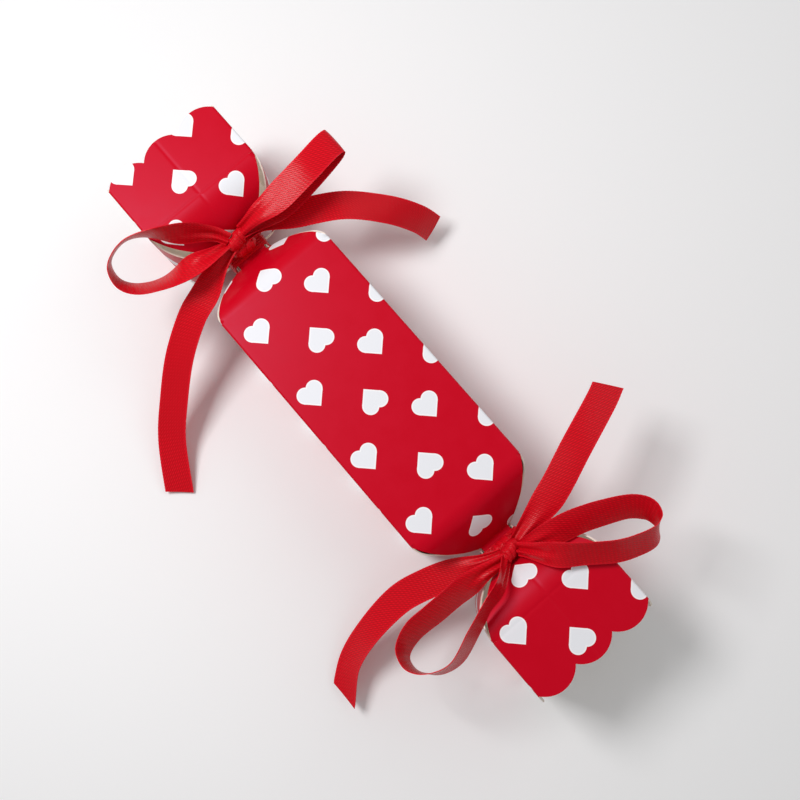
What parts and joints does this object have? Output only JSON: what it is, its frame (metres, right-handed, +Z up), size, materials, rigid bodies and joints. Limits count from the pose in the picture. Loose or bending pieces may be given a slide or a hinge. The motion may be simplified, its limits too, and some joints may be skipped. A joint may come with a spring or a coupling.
{
  "type": "candy-shaped gift box",
  "caption": "Folding card gift box shaped like a wrapped sweet: square heart-printed body, necks tied with satin ribbon bows, flared tails with scalloped edges.",
  "frame": {"origin": "centre of the back panel's outer face, which the box lies on", "axes": "+X along the box towards its right tail, +Z up out of the front panel"},
  "size_m": [0.2182, 0.14, 0.0564],
  "materials": {
    "printed_card": "red print with white hearts under a thin gloss film, white inside",
    "card_plain": "bare white board",
    "ribbon": "red satin"
  },
  "bodies": {
    "box": {"front_panel": "printed_card", "near_panel": "printed_card", "back_panel": "printed_card", "far_panel": "printed_card", "glue_flap": "card_plain"},
    "left_ribbon": {"left_ribbon_wrap": "ribbon", "left_ribbon_knot": "ribbon", "left_ribbon_loop_a": "ribbon", "left_ribbon_loop_b": "ribbon", "left_ribbon_tail_a": "ribbon", "left_ribbon_tail_b": "ribbon"},
    "left_front_shoulder": {"left_front_shoulder": "printed_card"},
    "left_front_flare": {"left_front_flare": "printed_card"},
    "left_front_tail": {"left_front_tail": "printed_card"},
    "left_near_shoulder": {"left_near_shoulder": "printed_card"},
    "left_near_flare": {"left_near_flare": "printed_card"},
    "left_near_tail": {"left_near_tail": "printed_card"},
    "left_back_shoulder": {"left_back_shoulder": "printed_card"},
    "left_back_flare": {"left_back_flare": "printed_card"},
    "left_back_tail": {"left_back_tail": "printed_card"},
    "left_far_shoulder": {"left_far_shoulder": "printed_card"},
    "left_far_flare": {"left_far_flare": "printed_card"},
    "left_far_tail": {"left_far_tail": "printed_card"},
    "right_ribbon": {"right_ribbon_wrap": "ribbon", "right_ribbon_knot": "ribbon", "right_ribbon_loop_a": "ribbon", "right_ribbon_loop_b": "ribbon", "right_ribbon_tail_a": "ribbon", "right_ribbon_tail_b": "ribbon"},
    "right_front_shoulder": {"right_front_shoulder": "printed_card"},
    "right_front_flare": {"right_front_flare": "printed_card"},
    "right_front_tail": {"right_front_tail": "printed_card"},
    "right_near_shoulder": {"right_near_shoulder": "printed_card"},
    "right_near_flare": {"right_near_flare": "printed_card"},
    "right_near_tail": {"right_near_tail": "printed_card"},
    "right_back_shoulder": {"right_back_shoulder": "printed_card"},
    "right_back_flare": {"right_back_flare": "printed_card"},
    "right_back_tail": {"right_back_tail": "printed_card"},
    "right_far_shoulder": {"right_far_shoulder": "printed_card"},
    "right_far_flare": {"right_far_flare": "printed_card"},
    "right_far_tail": {"right_far_tail": "printed_card"}
  },
  "joints": [
    {"name": "left_ribbon_untie", "type": "slide", "parent": "box", "child": "left_ribbon", "axis": [0, 0, 1], "range_m": [0, 0.06], "deforming": ["left_ribbon_wrap"]},
    {"name": "left_front_shoulder_fold", "type": "hinge", "parent": "box", "child": "left_front_shoulder", "pos_m": [-0.0465, 0, 0.04475], "axis": [0, 1, 0], "range_deg": [0, 24.01]},
    {"name": "left_front_neck_fold", "type": "hinge", "parent": "left_front_shoulder", "child": "left_front_flare", "pos_m": [-0.06581, 0, 0.029], "axis": [0, 1, 0], "range_deg": [-48.01, 0]},
    {"name": "left_front_tail_fold", "type": "hinge", "parent": "left_front_flare", "child": "left_front_tail", "pos_m": [-0.08512, 0, 0.04475], "axis": [0, 1, 0], "range_deg": [0, 24.01]},
    {"name": "left_near_shoulder_fold", "type": "hinge", "parent": "box", "child": "left_near_shoulder", "pos_m": [-0.0465, -0.02225, 0.0225], "axis": [0, 0, 1], "range_deg": [0, 24.01]},
    {"name": "left_near_neck_fold", "type": "hinge", "parent": "left_near_shoulder", "child": "left_near_flare", "pos_m": [-0.06581, -0.0065, 0.0225], "axis": [0, 0, 1], "range_deg": [-48.01, 0]},
    {"name": "left_near_tail_fold", "type": "hinge", "parent": "left_near_flare", "child": "left_near_tail", "pos_m": [-0.08512, -0.02225, 0.0225], "axis": [0, 0, 1], "range_deg": [0, 24.01]},
    {"name": "left_back_shoulder_fold", "type": "hinge", "parent": "box", "child": "left_back_shoulder", "pos_m": [-0.0465, 0, 0.00025], "axis": [0, -1, 0], "range_deg": [0, 24.01]},
    {"name": "left_back_neck_fold", "type": "hinge", "parent": "left_back_shoulder", "child": "left_back_flare", "pos_m": [-0.06581, 0, 0.016], "axis": [0, -1, 0], "range_deg": [-48.01, 0]},
    {"name": "left_back_tail_fold", "type": "hinge", "parent": "left_back_flare", "child": "left_back_tail", "pos_m": [-0.08512, 0, 0.00025], "axis": [0, -1, 0], "range_deg": [0, 24.01]},
    {"name": "left_far_shoulder_fold", "type": "hinge", "parent": "box", "child": "left_far_shoulder", "pos_m": [-0.0465, 0.02225, 0.0225], "axis": [0, 0, -1], "range_deg": [0, 24.01]},
    {"name": "left_far_neck_fold", "type": "hinge", "parent": "left_far_shoulder", "child": "left_far_flare", "pos_m": [-0.06581, 0.0065, 0.0225], "axis": [0, 0, -1], "range_deg": [-48.01, 0]},
    {"name": "left_far_tail_fold", "type": "hinge", "parent": "left_far_flare", "child": "left_far_tail", "pos_m": [-0.08512, 0.02225, 0.0225], "axis": [0, 0, -1], "range_deg": [0, 24.01]},
    {"name": "right_ribbon_untie", "type": "slide", "parent": "box", "child": "right_ribbon", "axis": [0, 0, 1], "range_m": [0, 0.06], "deforming": ["right_ribbon_wrap"]},
    {"name": "right_front_shoulder_fold", "type": "hinge", "parent": "box", "child": "right_front_shoulder", "pos_m": [0.0465, 0, 0.04475], "axis": [0, -1, 0], "range_deg": [0, 24.01]},
    {"name": "right_front_neck_fold", "type": "hinge", "parent": "right_front_shoulder", "child": "right_front_flare", "pos_m": [0.06581, 0, 0.029], "axis": [0, -1, 0], "range_deg": [-48.01, 0]},
    {"name": "right_front_tail_fold", "type": "hinge", "parent": "right_front_flare", "child": "right_front_tail", "pos_m": [0.08512, 0, 0.04475], "axis": [0, -1, 0], "range_deg": [0, 24.01]},
    {"name": "right_near_shoulder_fold", "type": "hinge", "parent": "box", "child": "right_near_shoulder", "pos_m": [0.0465, -0.02225, 0.0225], "axis": [0, 0, -1], "range_deg": [0, 24.01]},
    {"name": "right_near_neck_fold", "type": "hinge", "parent": "right_near_shoulder", "child": "right_near_flare", "pos_m": [0.06581, -0.0065, 0.0225], "axis": [0, 0, -1], "range_deg": [-48.01, 0]},
    {"name": "right_near_tail_fold", "type": "hinge", "parent": "right_near_flare", "child": "right_near_tail", "pos_m": [0.08512, -0.02225, 0.0225], "axis": [0, 0, -1], "range_deg": [0, 24.01]},
    {"name": "right_back_shoulder_fold", "type": "hinge", "parent": "box", "child": "right_back_shoulder", "pos_m": [0.0465, 0, 0.00025], "axis": [0, 1, 0], "range_deg": [0, 24.01]},
    {"name": "right_back_neck_fold", "type": "hinge", "parent": "right_back_shoulder", "child": "right_back_flare", "pos_m": [0.06581, 0, 0.016], "axis": [0, 1, 0], "range_deg": [-48.01, 0]},
    {"name": "right_back_tail_fold", "type": "hinge", "parent": "right_back_flare", "child": "right_back_tail", "pos_m": [0.08512, 0, 0.00025], "axis": [0, 1, 0], "range_deg": [0, 24.01]},
    {"name": "right_far_shoulder_fold", "type": "hinge", "parent": "box", "child": "right_far_shoulder", "pos_m": [0.0465, 0.02225, 0.0225], "axis": [0, 0, 1], "range_deg": [0, 24.01]},
    {"name": "right_far_neck_fold", "type": "hinge", "parent": "right_far_shoulder", "child": "right_far_flare", "pos_m": [0.06581, 0.0065, 0.0225], "axis": [0, 0, 1], "range_deg": [-48.01, 0]},
    {"name": "right_far_tail_fold", "type": "hinge", "parent": "right_far_flare", "child": "right_far_tail", "pos_m": [0.08512, 0.02225, 0.0225], "axis": [0, 0, 1], "range_deg": [0, 24.01]}
  ],
  "couplings": [
    {"joint": "left_front_shoulder_fold", "follows": "left_ribbon_untie", "rad_per_m": 6.9813},
    {"joint": "left_front_neck_fold", "follows": "left_ribbon_untie", "rad_per_m": -13.963},
    {"joint": "left_front_tail_fold", "follows": "left_ribbon_untie", "rad_per_m": 6.9813},
    {"joint": "left_near_shoulder_fold", "follows": "left_ribbon_untie", "rad_per_m": 6.9813},
    {"joint": "left_near_neck_fold", "follows": "left_ribbon_untie", "rad_per_m": -13.963},
    {"joint": "left_near_tail_fold", "follows": "left_ribbon_untie", "rad_per_m": 6.9813},
    {"joint": "left_back_shoulder_fold", "follows": "left_ribbon_untie", "rad_per_m": 6.9813},
    {"joint": "left_back_neck_fold", "follows": "left_ribbon_untie", "rad_per_m": -13.963},
    {"joint": "left_back_tail_fold", "follows": "left_ribbon_untie", "rad_per_m": 6.9813},
    {"joint": "left_far_shoulder_fold", "follows": "left_ribbon_untie", "rad_per_m": 6.9813},
    {"joint": "left_far_neck_fold", "follows": "left_ribbon_untie", "rad_per_m": -13.963},
    {"joint": "left_far_tail_fold", "follows": "left_ribbon_untie", "rad_per_m": 6.9813},
    {"joint": "right_front_shoulder_fold", "follows": "right_ribbon_untie", "rad_per_m": 6.9813},
    {"joint": "right_front_neck_fold", "follows": "right_ribbon_untie", "rad_per_m": -13.963},
    {"joint": "right_front_tail_fold", "follows": "right_ribbon_untie", "rad_per_m": 6.9813},
    {"joint": "right_near_shoulder_fold", "follows": "right_ribbon_untie", "rad_per_m": 6.9813},
    {"joint": "right_near_neck_fold", "follows": "right_ribbon_untie", "rad_per_m": -13.963},
    {"joint": "right_near_tail_fold", "follows": "right_ribbon_untie", "rad_per_m": 6.9813},
    {"joint": "right_back_shoulder_fold", "follows": "right_ribbon_untie", "rad_per_m": 6.9813},
    {"joint": "right_back_neck_fold", "follows": "right_ribbon_untie", "rad_per_m": -13.963},
    {"joint": "right_back_tail_fold", "follows": "right_ribbon_untie", "rad_per_m": 6.9813},
    {"joint": "right_far_shoulder_fold", "follows": "right_ribbon_untie", "rad_per_m": 6.9813},
    {"joint": "right_far_neck_fold", "follows": "right_ribbon_untie", "rad_per_m": -13.963},
    {"joint": "right_far_tail_fold", "follows": "right_ribbon_untie", "rad_per_m": 6.9813}
  ]
}
